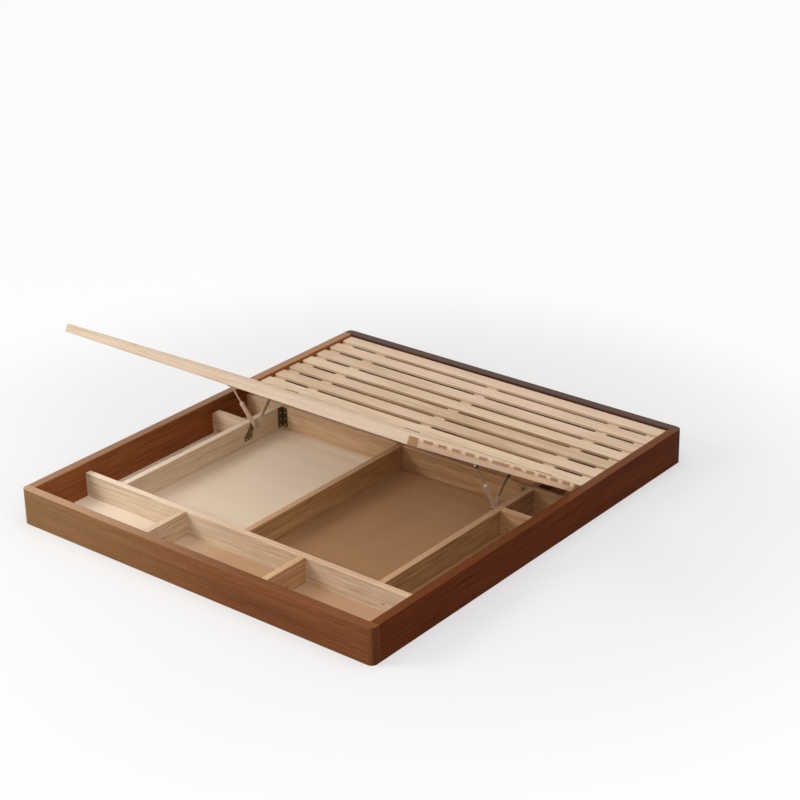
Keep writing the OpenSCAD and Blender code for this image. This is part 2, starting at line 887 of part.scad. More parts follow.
module right_spring_cylinder() {
    r = tube_d / 2;
    bore = r - tube_wall;
    guide = rod_d / 2 + fit;
    color("silver") from_base(spring_angle) {
        eye(0, stud_d / 2 + fit);
        spun() polygon([[0, neck_start], [neck_r, neck_start], [neck_r, tube_start],
            [r - crimp, tube_start], [r, tube_start + crimp], [r, tube_end - crimp],
            [r - crimp / 2, tube_end], [guide, tube_end], [guide, tube_end - guide_l],
            [bore, tube_end - guide_l], [bore, tube_floor], [0, tube_floor]]);
    }
}

module left_spring_cylinder() {
    left() right_spring_cylinder();
}

module right_spring_rod() {
    piston = tube_d / 2 - tube_wall - slack;
    color("lightgray") from_base(spring_angle)
        spun() polygon([[0, rod_start], [piston, rod_start], [piston, rod_start + piston_l],
            [rod_d / 2, rod_start + piston_l], [rod_d / 2, rod_end], [0, rod_end]]);
}

module left_spring_rod() {
    left() right_spring_rod();
}

// Eye on the end of the rod with the stud that reaches to the lid's bracket
module right_spring_end() {
    color("gray") from_base(spring_angle) {
        eye(spring_open, stud_d / 2 - eps);
        translate([0, spring_open, 0]) {
            bar_x(spring_x - eye_w / 2 - eps, spring_web_x - open_gap, stud_d / 2);
            bar_x(spring_x - eye_w / 2 - head_t, spring_x - eye_w / 2, head_r);
        }
        spun() polygon([[0, rod_end], [neck_r, rod_end], [neck_r, spring_open - neck_start],
            [0, spring_open - neck_start]]);
    }
}

module left_spring_end() {
    left() right_spring_end();
}

// Flat bar that hangs from the pin on the lid, with a slot that slides on the base stud
module right_stay() {
    slot_r = stud_d / 2 + seat;
    color("dimgray") from_base(stay_angle) along_x(stay_x, stay_x + plate_t) difference() {
        union() {
            circle(stay_w / 2);
            translate([0, -stay_w / 2]) square([stay_open, stay_w]);
            translate([stay_open, 0]) circle(stay_w / 2);
        }
        translate([stay_open, 0]) circle(stud_d / 2 + fit);
        translate([0, -slot_r]) square([stay_open - stay_closed, 2 * slot_r]);
        for (y = [0, stay_open - stay_closed]) translate([y, 0]) circle(slot_r);
    }
}

module left_stay() {
    left() right_stay();
}

echo(axis = [0, axis_y, axis_z], base_pivot = base_pivot, spring_x = spring_x, stay_x = stay_x);
echo(spring = [spring_closed, spring_open, heading(base_pivot, spring_pivot), spring_angle]);
echo(stay = [stay_closed, stay_open, heading(base_pivot, stay_pivot), stay_angle]);

foot_rail();
head_rail();
left_rail();
right_rail();
corner_dowels();
cam_bolts();
cam_nuts();
foot_cross_board();
mid_cross_board();
left_long_board();
middle_long_board();
right_long_board();
left_foot_divider();
right_foot_divider();
left_side_divider();
right_side_divider();
head_cleats();
side_cleats();
foot_outer_floors();
foot_middle_floor();
left_floor();
right_floor();
side_rear_floors();
centre_floors();
head_floors();
finger_liner();
deck_hinge_board();
deck_slats();
deck_side_bearers();
deck_battens();
hinge_deck_leaves();
hinge_pins();
left_base_bracket();
right_base_bracket();
left_pivot_stud();
right_pivot_stud();
joint_angles();
carcass_screws();
lid_hinge_board();
lid_front_board();
lid_rear_slats();
lid_front_slats();
lid_left_bearer();
lid_right_bearer();
lid_battens();
hinge_lid_leaves();
lid_spring_brackets();
lid_stay_brackets();
lid_screws();
left_spring_cylinder();
right_spring_cylinder();
left_spring_rod();
right_spring_rod();
left_spring_end();
right_spring_end();
left_stay();
right_stay();
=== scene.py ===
"""Tatami platform bed: the finish of every part, its small fixings, the light and the camera."""

import math
import random

import bmesh
import bpy
from mathutils import Matrix, Vector


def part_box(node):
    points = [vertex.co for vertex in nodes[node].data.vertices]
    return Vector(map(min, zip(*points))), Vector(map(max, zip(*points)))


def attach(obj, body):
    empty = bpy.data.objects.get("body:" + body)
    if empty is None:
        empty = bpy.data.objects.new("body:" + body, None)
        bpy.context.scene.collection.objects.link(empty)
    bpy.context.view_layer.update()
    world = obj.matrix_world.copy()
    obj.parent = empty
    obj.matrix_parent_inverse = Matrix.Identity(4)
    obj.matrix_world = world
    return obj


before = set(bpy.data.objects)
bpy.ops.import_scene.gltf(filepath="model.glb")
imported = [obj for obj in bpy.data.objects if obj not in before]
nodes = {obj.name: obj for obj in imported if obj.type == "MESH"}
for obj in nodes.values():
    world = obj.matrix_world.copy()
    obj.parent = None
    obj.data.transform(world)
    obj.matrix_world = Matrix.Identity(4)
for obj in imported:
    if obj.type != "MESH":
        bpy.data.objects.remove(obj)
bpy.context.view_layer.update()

# Sizes of the bed that the finishes and the fixings follow, in metres
HINGE = Vector((0, 0.358, 0.148))   # hinge line, level with the top of the decks
LID_OPEN = math.radians(30.5)
SLAT_W = 0.066
SLAT_T = 0.014
DECK_PITCH = 0.587 / 6
LID_PITCH = 0.584 / 6
BOARD_T = 0.034                     # hinge boards, the front board, and a slat on its bearer
DECK_HALF = 0.895                   # half the width of the decks
BEARER_W, SIDE_X = 0.067, 0.8615    # side bearers, and how far out their middles lie
BATTEN_W, BATTEN_X = 0.057, 0.658   # the same for the battens on either side of the middle
BEARER_X = (-SIDE_X, -BATTEN_X, 0, BATTEN_X, SIDE_X)

# Lengths from the hinge line, to the rear where they are above 0, in metres
DECK_START = 0.005                  # deck's front edge
DECK_END = 0.658                    # deck's rear edge
LID_HINGE_BOARD = -0.071            # front of the lid's hinge board
LID_MIDDLE = -0.655                 # joint of the lid's two groups of slats
LID_FRONT = -1.306                  # lid's front edge


# ---- Finishes ----

def srgb(red, green, blue):
    """A colour as a paint chart gives it, from 0 to 255, in the shader's own numbers."""
    def part(value):
        value /= 255
        return value / 12.92 if value <= 0.04045 else ((value + 0.055) / 1.055) ** 2.4
    return part(red), part(green), part(blue), 1.0


class Flow:
    """What leaves one node of a finish. Sums on it add their own Math nodes."""

    def __init__(self, finish, socket):
        self.finish, self.socket = finish, socket

    def sum(self, operation, *parts):
        return self.finish.node("Math", {"operation": operation}, dict(enumerate(parts)))

    def __add__(self, other):
        return self.sum("ADD", self, other)

    def __radd__(self, other):
        return self.sum("ADD", other, self)

    def __sub__(self, other):
        return self.sum("SUBTRACT", self, other)

    def __rsub__(self, other):
        return self.sum("SUBTRACT", other, self)

    def __mul__(self, other):
        return self.sum("MULTIPLY", self, other)

    def __rmul__(self, other):
        return self.sum("MULTIPLY", other, self)

    def __truediv__(self, other):
        return self.sum("DIVIDE", self, other)

    def __rtruediv__(self, other):
        return self.sum("DIVIDE", other, self)

    def __pow__(self, other):
        return self.sum("POWER", self, other)

    def __abs__(self):
        return self.sum("ABSOLUTE", self)

    def __floor__(self):
        return self.sum("FLOOR", self)

    def part(self):
        """What is left after the whole number."""
        return self.sum("FRACT", self)

    def least(self, other):
        return self.sum("MINIMUM", self, other)

    def most(self, other):
        return self.sum("MAXIMUM", self, other)

    def between(self, low, high):
        """0 up to low, 1 from high on, and a soft step between them."""
        return self.finish.node("MapRange", {"interpolation_type": "SMOOTHSTEP"},
                                {"Value": self, "From Min": low, "From Max": high})


class Finish:
    """One material on a Principled shader."""

    def __init__(self, name, **constants):
        self.material = bpy.data.materials.new(name)
        self.material.use_nodes = True
        self.tree = self.material.node_tree
        self.shader = self.tree.nodes["Principled BSDF"]
        for key, value in constants.items():
            self.shader.inputs[key.replace("_", " ")].default_value = value

    def node(self, kind, settings=None, inputs=None, out=0):
        """Adds a node of this kind, with its settings first and then its inputs."""
        made = self.tree.nodes.new("ShaderNode" + kind)
        for key, value in (settings or {}).items():
            setattr(made, key, value)
        for key, value in (inputs or {}).items():
            socket = made.inputs[key] if isinstance(key, int) else next(
                s for s in made.inputs if key in (s.identifier, s.name))
            if isinstance(value, Flow):
                self.tree.links.new(value.socket, socket)
            else:
                socket.default_value = value
        return Flow(self, made.outputs[out] if isinstance(out, int) else next(
            s for s in made.outputs if out in (s.identifier, s.name)))

    def split(self, vector):
        first = self.node("SeparateXYZ", None, {0: vector})
        return [Flow(self, s) for s in first.socket.node.outputs]

    def join(self, x, y, z):
        return self.node("CombineXYZ", None, {0: x, 1: y, 2: z})

    def mix(self, share, first, second):
        return self.node("Mix", {"data_type": "RGBA", "clamp_factor": True},
                         {"Factor_Float": share, "A_Color": first, "B_Color": second},
                         "Result_Color")

    def cloud(self, vector, scale=1.0, detail=2.0, rough=0.5):
        return self.node("TexNoise", None, {"Vector": vector, "Scale": scale, "Detail": detail,
                                            "Roughness": rough})

    def place(self, on_lid=False, from_hinge=False):
        """Where a point lies on the bed. On the lid, as if it lay closed, from the hinge line."""
        spot = self.node("TexCoord", out="Object")
        if on_lid or from_hinge:
            turn = (-LID_OPEN if on_lid else 0, 0, 0)
            spot = self.node("Mapping", {"vector_type": "TEXTURE"},
                             {"Vector": spot, "Location": HINGE, "Rotation": turn})
        return spot

    def feed(self, **flows):
        for key, flow in flows.items():
            self.tree.links.new(flow.socket, self.shader.inputs[key.replace("_", " ")])
        return self.material

    def bump(self, height, strength, depth):
        return self.node("Bump", None, {"Height": height, "Strength": strength,
                                        "Distance": depth})


def rim(spot, low, high, reach):
    """1 on the edges of a box from low to high, fading out at reach from them."""
    gaps = []
    for axis in range(3):
        middle, half = (low[axis] + high[axis]) / 2, (high[axis] - low[axis]) / 2
        gaps.append(half - abs(spot[axis] - middle))
    x, y, z = gaps
    second = x + y + z - x.least(y).least(z) - x.most(y).most(z)
    return 1 - second.between(0.0, reach)


def timber(name, along, box, seed, light, dark, end, worn, ring, rings, streaks, fibre, tone,
           lots, wear, edge, rough, relief, on_lid=False, from_hinge=False, row=None, blush=None,
           vein=None, veins=0.0, knots=0, pores=0.0, faded=None, fading=0.0, bleached=None,
           bleached_top=None, polish=0.0, **constants):
    """Solid wood: growth rings round a trunk's heart, fibre, pores, end grain and worn edges.

    along is the axis of the grain, and ring is the width of a year. row is (axis, start, pitch)
    where one node holds a row of boards, so that each has its own piece of trunk. Upper faces
    get painted light and shade in a tone of their own, and may be polished. Towards the bed's
    left side the wood is painted paler, for the light that falls there.
    """
    f = Finish(name, **constants)
    spot = f.split(f.place(on_lid, from_hinge))
    lot = random.Random(seed)
    low, high = box
    if row:
        axis, start, pitch = row
        number = math.floor((spot[axis] - start) / pitch)
        spot[axis] = spot[axis] - number * pitch
        chance = f.node("TexWhiteNoise", {"noise_dimensions": "1D"}, {"W": number + seed * 7.3},
                        "Color")
        one, two, three = f.split(chance)
    else:
        one, two, three = (lot.random() for _ in range(3))
    across = [axis for axis in range(3) if axis != along]
    if high[across[0]] - low[across[0]] < high[across[1]] - low[across[1]]:
        across.reverse()
    # u runs along the grain, v over the wider face and w into it
    u, v, w = spot[along], spot[across[0]] - low[across[0]], spot[across[1]] - high[across[1]]
    width = high[across[0]] - low[across[0]]

    # Rings: they wander along the trunk, and no two years are equally wide or equally dark
    wander = f.cloud(f.join(u * 0.7 + three * 9 + seed, v * 6 + one * 5, w * 6), 1, 2) - 0.5
    heart = f.join(v - width * (1.4 * one - 0.2), w + 0.015 + 0.06 * two, 0.0)
    reach = f.node("VectorMath", {"operation": "LENGTH"}, {0: heart}, "Value")
    years = (reach + wander * 0.09) / ring
    years = years + (f.cloud(f.join(years * 0.3, three * 5 + seed, 0.5), 1, 1) - 0.5) * 3
    eyes = []
    for _ in range(knots):
        run = lot.uniform(low[along], high[along]) - u
        rise = width * lot.uniform(0.2, 0.8) - v
        gap = (run * run * 0.3 + rise * rise) ** 0.5
        years = years + 4 * (1 - gap.between(0.0, lot.uniform(0.02, 0.035)))
        eyes.append(1 - gap.between(0.002, lot.uniform(0.005, 0.009)))
    age = years.part()
    weight = f.node("TexWhiteNoise", {"noise_dimensions": "1D"},
                    {"W": math.floor(years) + seed * 3.1}, "Value")
    late = age * age * (1 - age) * 6.75 * (weight * 0.8 + 0.2)

    strand = f.cloud(f.join(u * 8 + three * 4, v * 420, w * 420 + one * 3), 1, 2, 0.6)
    streak = f.cloud(f.join(u * 1.5 + one * 8, v * 105 + two * 7, w * 105 + seed), 1, 3, 0.65)
    cast = f.cloud(f.join(u * 1.1 + two * 6, v * 9, w * 9 + seed), 1, 3)
    shade = late * rings + (streak - 0.5) * streaks * 3 + (strand - 0.5) * fibre * 3
    shade = shade + (cast - 0.5) * tone * 3 + (one - 0.5) * lots * 2 + 0.3
    colour = f.mix(shade, light, dark)
    if blush:
        blot = f.cloud(f.join(u * 2.3 + three * 7, v * 5 + two * 3, w * 5), 1, 2)
        colour = f.mix((blot + two * 0.3).between(0.4, 0.9) * 0.8, colour, blush)
    if vein:
        line = f.cloud(f.join(u * 2.2 + two * 5, v * 170 + one * 4, w * 170), 1, 2)
        colour = f.mix(line.between(0.58, 0.7) * veins, colour, vein)
    for eye in eyes:
        colour = f.mix(eye * 0.55, colour, srgb(106, 70, 44))
    # Painted light: the wood, its upper faces too, turns paler towards the bed's left side, where
    # the light falls
    if bleached:
        left = 1 - spot[0].between(-0.95, 0.45)
        pale = f.mix(shade, bleached, tuple(v * 0.62 for v in bleached[:3]) + (1.0,))
        colour = f.mix(left * 0.7, colour, pale)
        faded = f.mix(left, faded, bleached_top)
    if pores:
        pore = f.cloud(f.join(u * 22, v * 950 + three, w * 950), 1, 1).between(0.56, 0.66)
        colour = f.mix(pore * pores, colour, dark)
    normal = f.split(f.node("TexCoord", out="Normal"))
    ends = abs(normal[along]).between(0.55, 0.9)
    colour = f.mix(ends * 0.75, colour, end)
    scuff = f.cloud(f.join(*spot), 55, 3, 0.6)
    rub = rim(spot, low, high, edge) * (scuff * 1.4).least(1.0) * wear
    colour = f.mix(rub, colour, worn)
    # Painted light and shade on the upper faces: a tone of their own, lighter or darker for how
    # the light falls on them. The coat there is a real polish.
    if fading:
        upper = normal[2].between(0.6, 0.95)
        painted_top_mask = upper * (scuff * 0.5 + 0.7)
        colour = f.mix(painted_top_mask * fading, colour, faded)
        f.feed(Coat_Weight=upper * polish)
    height = late * 0.5 + strand
    if pores:
        height = height - pore * pores * 2
    return f.feed(Base_Color=colour,
                  Roughness=rough + (strand - 0.5) * 0.2 + ends * 0.15 + rub * 0.1,
                  Normal=f.bump(height, relief, 0.0004))


STAIN = dict(ring=0.006, rings=0.35, streaks=0.45, fibre=0.5, tone=0.3, lots=0.0, pores=0.5,
             wear=0.6, edge=0.004, polish=0.8, rough=0.5, relief=0.22,
             Specular_IOR_Level=0.1, Coat_Roughness=0.32)
FOOT_STAIN = dict(STAIN, light=srgb(134, 80, 40), dark=srgb(86, 44, 18),
                  end=srgb(72, 34, 13), worn=srgb(168, 112, 66), faded=srgb(108, 65, 34),
                  bleached=srgb(155, 119, 76), bleached_top=srgb(184, 147, 114),
                  fading=0.75, polish=0.25, wear=0.25)
LEFT_STAIN = dict(STAIN, light=srgb(162, 100, 54), dark=srgb(110, 58, 26),
                  end=srgb(74, 38, 20), worn=srgb(204, 164, 124), faded=srgb(146, 104, 70),
                  fading=0.75, polish=0.45)
# Painted shade: the right rail, and the head rail below, get darker tones of the rails' stain, for
# the shade that falls on them
SHADED_RIGHT_STAIN = dict(STAIN, light=srgb(104, 47, 12), dark=srgb(64, 23, 3),
                   end=srgb(56, 26, 12), worn=srgb(134, 82, 46), faded=srgb(106, 62, 33),
                   fading=0.7, polish=0.12, wear=0.3, Specular_IOR_Level=0.03)
SHADED_HEAD_STAIN = dict(STAIN, light=srgb(82, 50, 37), dark=srgb(48, 27, 20),
                  end=srgb(56, 28, 16), worn=srgb(112, 86, 70), faded=srgb(72, 54, 44),
                  fading=0.65, polish=0.1)
SLAT = dict(light=srgb(208, 187, 158), dark=srgb(170, 142, 110), end=srgb(180, 124, 78),
            ring=0.0055, rings=0.4, streaks=0.5, fibre=0.55, tone=0.35, lots=0.28,
            blush=srgb(210, 182, 160), vein=srgb(150, 112, 82), veins=0.45, wear=0.3,
            worn=srgb(228, 208, 184), edge=0.002, rough=0.55,
            relief=0.25, Specular_IOR_Level=0.25)
# Painted shade: a darker copy of the slats' wood on the lid's front board, which faces the lamps
SHADED_LID_EDGE = dict(SLAT, light=srgb(196, 177, 152), dark=srgb(166, 142, 115),
                worn=srgb(206, 188, 164), blush=srgb(190, 168, 148))
BEARER = dict(SLAT, light=srgb(220, 200, 174), dark=srgb(184, 158, 128),
              end=srgb(170, 128, 90))
# Painted light: a paler copy of the bearers' wood on the lid's side bearers, whose outer faces lie
# in shade
LIT_LID_BEARER = dict(BEARER, light=srgb(246, 206, 162), dark=srgb(216, 168, 124))
BOARD = dict(light=srgb(232, 211, 184), dark=srgb(188, 151, 116), end=srgb(176, 136, 100),
             ring=0.0065, rings=0.45, streaks=0.5, fibre=0.6, tone=0.3, lots=0.0, knots=1,
             vein=srgb(146, 102, 66), veins=0.5, wear=0.35, worn=srgb(240, 224, 202),
             edge=0.003, rough=0.55, relief=0.3, Specular_IOR_Level=0.25)
# Copies of one board wood: painted light towards the bed's left, and darker brown copies as
# painted shade on the boards towards the right
BOARD_LIT_LEFT = dict(BOARD, faded=srgb(208, 170, 138), fading=0.7,
                  bleached=srgb(240, 221, 192), bleached_top=srgb(248, 232, 210))
SHADED_BOARD = dict(BOARD, light=srgb(203, 161, 112), dark=srgb(147, 101, 60),
                   end=srgb(140, 96, 62), vein=srgb(112, 70, 42), worn=srgb(214, 172, 132),
                   faded=srgb(210, 172, 140), fading=0.6)
SHADED_BOARD_LIT_LEFT = dict(SHADED_BOARD, light=srgb(214, 174, 128), dark=srgb(160, 116, 74),
                   bleached=srgb(247, 216, 180), bleached_top=srgb(240, 216, 188))


def floor_sheet(name, light=srgb(240, 226, 206), dark=srgb(222, 203, 178),
                speck=srgb(196, 172, 144), right=None, start=0.0, reach=0.02):
    """Thin faced board: a smooth face with a faint print of its fibres, and brown cut edges.

    right is the pair of darker tones painted on the face towards the bed's right side, for
    painted shade, from start on and over a length of reach.
    """
    f = Finish(name, Specular_IOR_Level=0.35)
    x, y, z = f.split(f.place())
    sway = f.cloud(f.join(x * 3, y * 3, 1.0), 1, 3)
    fleck = f.cloud(f.join(x * 420, y * 60, z), 1, 2, 0.6)
    haze = f.cloud(f.join(x, y, z), 240, 2)
    colour = f.mix(sway * 0.5 + fleck * 0.25, light, dark)
    colour = f.mix(haze.between(0.6, 0.75) * 0.25, colour, speck)
    # Painted shade: darker tones towards the bed's right side
    if right:
        band = f.cloud(f.join(x * 70, y * 2.5, z), 1, 3, 0.6)
        painted_shade_tone = f.mix((sway * 0.4 + band * 0.6 - 0.1), *right)
        colour = f.mix(x.between(start, start + reach), colour, painted_shade_tone)
    side = 1 - abs(f.split(f.node("TexCoord", out="Normal"))[2]).between(0.5, 0.9)
    colour = f.mix(side * 0.8, colour, srgb(150, 116, 82))
    return f.feed(Base_Color=colour, Roughness=0.42 + fleck * 0.12,
                  Normal=f.bump(fleck + haze, 0.08, 0.0003))


def plated_steel(name, on_lid=False, bright=srgb(214, 214, 210), painted_top_mask=srgb(176, 175, 172),
                 tint=srgb(186, 172, 132), rough=0.26):
    """Plated plate: soft bright patches, rolling marks, and a faint tint in places."""
    f = Finish(name, Metallic=1.0)
    spot = f.place(on_lid)
    x, y, z = f.split(spot)
    patch = f.cloud(spot, 38, 3)
    roll = f.cloud(f.join(x * 900, y * 60, z * 900), 1, 2)
    cast = f.cloud(spot, 16, 2)
    colour = f.mix(patch, painted_top_mask, bright)
    colour = f.mix(cast.between(0.45, 0.75) * 0.35, colour, tint)
    return f.feed(Base_Color=colour, Roughness=rough + patch * 0.14 + roll * 0.1,
                  Normal=f.bump(roll + patch * 2, 0.12, 0.0002))


def silver_paint(name):
    """Satin silver paint on the gas springs: a fine metal flake under a clear coat."""
    f = Finish(name, Metallic=0.5, Coat_Weight=0.3, Coat_Roughness=0.2)
    spot = f.place()
    flake = f.node("TexVoronoi", {"feature": "F1"}, {"Vector": spot, "Scale": 1600.0})
    patch = f.cloud(spot, 30, 3)
    scuff = f.cloud(spot, 210, 3, 0.7).between(0.62, 0.74)
    colour = f.mix(flake * 0.8, srgb(240, 224, 208), srgb(222, 204, 190))
    colour = f.mix(scuff * 0.4, colour, srgb(140, 136, 132))
    return f.feed(Base_Color=colour, Roughness=0.3 + patch * 0.12 + scuff * 0.2,
                  Normal=f.bump(flake, 0.05, 0.0001))


def hard_chrome(name):
    """Polished chrome rod with a thin film of oil."""
    f = Finish(name, Metallic=0.8)
    spot = f.place()
    film = f.cloud(spot, 90, 2)
    x, y, z = f.split(spot)
    lines = f.cloud(f.join(x * 40, y * 1400, z * 1400), 1, 1)
    colour = f.mix(film.between(0.4, 0.7), srgb(234, 230, 224), srgb(216, 208, 198))
    return f.feed(Base_Color=colour, Roughness=0.06 + film * 0.1,
                  Normal=f.bump(lines, 0.02, 0.0001))


def bare_bar(name):
    """Bare rolled steel of the stays, rubbed bright in patches."""
    f = Finish(name, Metallic=0.6)
    spot = f.place()
    patch = f.cloud(spot, 60, 4, 0.6)
    mill = f.cloud(spot, 700, 2)
    colour = f.mix(patch, srgb(158, 138, 120), srgb(190, 170, 150))
    colour = f.mix(patch.between(0.58, 0.72) * 0.5, colour, srgb(214, 196, 176))
    return f.feed(Base_Color=colour, Roughness=0.34 + patch * 0.2,
                  Normal=f.bump(mill + patch, 0.15, 0.0002))


def black_moulding(name):
    """Matt black moulding with a fine spark texture."""
    f = Finish(name, Specular_IOR_Level=0.2)
    spot = f.place()
    spark = f.cloud(spot, 1400, 2)
    dust = f.cloud(spot, 60, 3).between(0.5, 0.8)
    colour = f.mix(dust * 0.2, srgb(18, 17, 16), srgb(52, 48, 44))
    return f.feed(Base_Color=colour, Roughness=0.6 + spark * 0.15 + dust * 0.1,
                  Normal=f.bump(spark, 0.2, 0.0001))


def dress(name, finish):
    """Puts a finish on a part of the bed."""
    part = nodes[name]
    if not part.material_slots:
        part.data.materials.append(finish)
    for slot in part.material_slots:
        slot.material = finish


X, Y = 0, 1
CLEAT_ROW = (X, -0.9, 0.71)         # the wood of the head cleats changes at each such step
TWO_SIDES = (X, -1.0, 1.0)          # a row with one board left of the middle and one right of it

dress("foot_rail", timber("stained_foot_rail", X, box=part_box("foot_rail"), seed=3, **FOOT_STAIN))
dress("head_rail", timber("stained_head_rail", X, box=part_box("head_rail"), seed=4, **SHADED_HEAD_STAIN))
dress("left_rail", timber("stained_left_rail", Y, box=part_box("left_rail"), seed=5, **LEFT_STAIN))
dress("right_rail", timber("stained_right_rail", Y, box=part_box("right_rail"), seed=6,
                           **SHADED_RIGHT_STAIN))

for number, (name, axis, wood) in enumerate((
        ("foot_cross_board", X, BOARD_LIT_LEFT), ("mid_cross_board", X, SHADED_BOARD_LIT_LEFT),
        ("left_long_board", Y, BOARD_LIT_LEFT), ("middle_long_board", Y, SHADED_BOARD),
        ("right_long_board", Y, SHADED_BOARD), ("left_foot_divider", Y, BOARD),
        ("right_foot_divider", Y, SHADED_BOARD_LIT_LEFT), ("left_side_divider", X, BOARD),
        ("right_side_divider", X, SHADED_BOARD_LIT_LEFT))):
    dress(name, timber("sanded_" + name, axis, box=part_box(name), seed=20 + number, **wood))

dress("corner_dowels", timber("beech_dowel", Y, box=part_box("corner_dowels"), seed=9, **BOARD))
dress("head_cleats", timber("sanded_head_cleats", X, box=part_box("head_cleats"), seed=31,
                            row=CLEAT_ROW, **BOARD))
dress("side_cleats", timber("sanded_side_cleats", Y, box=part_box("side_cleats"), seed=32,
                            row=TWO_SIDES, **BOARD))

slat_box = ((-DECK_HALF, 0, -SLAT_T), (DECK_HALF, SLAT_W, 0))
thick_box = ((-DECK_HALF, 0, -BOARD_T), (DECK_HALF, SLAT_W, 0))


def shifted(box, y):
    """The box, moved by y along the bed."""
    return tuple((low[0], low[1] + y, low[2]) for low in box)


dress("deck_slats", timber("deck_slat", X, box=shifted(slat_box, DECK_START), seed=40,
                           from_hinge=True, row=(Y, DECK_START, DECK_PITCH), **SLAT))
dress("deck_hinge_board", timber("deck_hinge_board", X, box=shifted(thick_box, DECK_START),
                                 seed=41, from_hinge=True, **SLAT))
dress("lid_rear_slats", timber("lid_rear_slat", X, box=shifted(slat_box, LID_MIDDLE), seed=42,
                               on_lid=True, row=(Y, LID_MIDDLE, LID_PITCH), **SLAT))
dress("lid_front_slats", timber("lid_front_slat", X, box=shifted(slat_box, LID_FRONT), seed=43,
                                on_lid=True, row=(Y, LID_FRONT, LID_PITCH), **SLAT))
dress("lid_hinge_board", timber("lid_hinge_board", X, box=shifted(thick_box, LID_HINGE_BOARD),
                                seed=44, on_lid=True, **SLAT))
dress("lid_front_board", timber("lid_front_board", X, box=shifted(thick_box, LID_FRONT),
                                seed=45, on_lid=True, **SHADED_LID_EDGE))


def bearer_box(x, width, start, end):
    """A bearer under the slats, with its middle at x, from start to end along the bed."""
    return (x - width / 2, start, -BOARD_T), (x + width / 2, end, -SLAT_T)


deck_run = (DECK_START + SLAT_W, DECK_END)
lid_run = (LID_FRONT + SLAT_W, LID_HINGE_BOARD)
side_row = (X, -DECK_HALF, 2 * SIDE_X)
batten_row = (X, -BATTEN_X - BATTEN_W / 2, BATTEN_X)
dress("deck_side_bearers", timber("deck_bearer", Y, seed=50, from_hinge=True,
                                  box=bearer_box(-SIDE_X, BEARER_W, *deck_run),
                                  row=side_row, **BEARER))
dress("deck_battens", timber("deck_batten", Y, seed=51, from_hinge=True,
                             box=bearer_box(-BATTEN_X, BATTEN_W, *deck_run),
                             row=batten_row, **BEARER))
dress("lid_left_bearer", timber("lid_left_bearer", Y, seed=52, on_lid=True,
                                box=bearer_box(-SIDE_X, BEARER_W, *lid_run), **LIT_LID_BEARER))
dress("lid_right_bearer", timber("lid_right_bearer", Y, seed=53, on_lid=True,
                                 box=bearer_box(SIDE_X, BEARER_W, *lid_run), **LIT_LID_BEARER))
dress("lid_battens", timber("lid_batten", Y, seed=54, on_lid=True,
                            box=bearer_box(-BATTEN_X, BATTEN_W, *lid_run),
                            row=batten_row, **BEARER))

# Painted shade on the floors: the foot bays' darken from the left corner on, the other bays' on
# the bed's right half
foot_sheet = floor_sheet("foot_floor_board", right=(srgb(190, 154, 120), srgb(168, 130, 98)),
                         start=-0.7, reach=0.7)
for name in ("foot_outer_floors", "foot_middle_floor"):
    dress(name, foot_sheet)
bay_sheet = floor_sheet("bay_floor_board", right=(srgb(178, 138, 100), srgb(144, 104, 70)))
for name in ("right_floor", "side_rear_floors", "centre_floors"):
    dress(name, bay_sheet)
# Painted light: the left bay's floor gets a paler cream than the other floors, standing in for
# light in a bay that lies in shade
dress("left_floor", floor_sheet("painted_lit_floor_board", srgb(255, 246, 232), srgb(246, 230, 210)))
dress("head_floors", floor_sheet("brown_floor_board", srgb(212, 150, 98), srgb(184, 124, 78),
                                 srgb(144, 98, 60)))

BRONZE = dict(bright=srgb(150, 122, 92), painted_top_mask=srgb(112, 88, 64), tint=srgb(96, 74, 54),
              rough=0.55)
OLIVE = dict(bright=srgb(134, 122, 92), painted_top_mask=srgb(96, 86, 62), tint=srgb(120, 100, 60),
             rough=0.4)
zinc = plated_steel("zinc_plate")
lid_zinc = plated_steel("zinc_plate_on_lid", on_lid=True)
bronze = plated_steel("bronzed_hinge", **BRONZE)
lid_bronze = plated_steel("bronzed_hinge_on_lid", on_lid=True, **BRONZE)
olive = plated_steel("olive_plate", **OLIVE)
lid_olive = plated_steel("olive_plate_on_lid", on_lid=True, **OLIVE)
silver, chrome = silver_paint("silver_spring_paint"), hard_chrome("chrome_rod")
bare, moulding = bare_bar("bare_stay_steel"), black_moulding("black_moulding")
for name in ("cam_bolts", "cam_nuts", "left_pivot_stud", "right_pivot_stud", "carcass_screws",
             "left_spring_end", "right_spring_end"):
    dress(name, zinc)
for name in ("left_base_bracket", "right_base_bracket", "joint_angles"):
    dress(name, olive)
for name in ("lid_spring_brackets", "lid_stay_brackets"):
    dress(name, lid_olive)
for name in ("hinge_deck_leaves", "hinge_pins"):
    dress(name, bronze)
dress("hinge_lid_leaves", lid_bronze)
dress("lid_screws", lid_zinc)
for side in ("left", "right"):
    dress(side + "_spring_cylinder", silver)
    dress(side + "_spring_rod", chrome)
    dress(side + "_stay", bare)
dress("finger_liner", moulding)


# ---- Small fixings ----

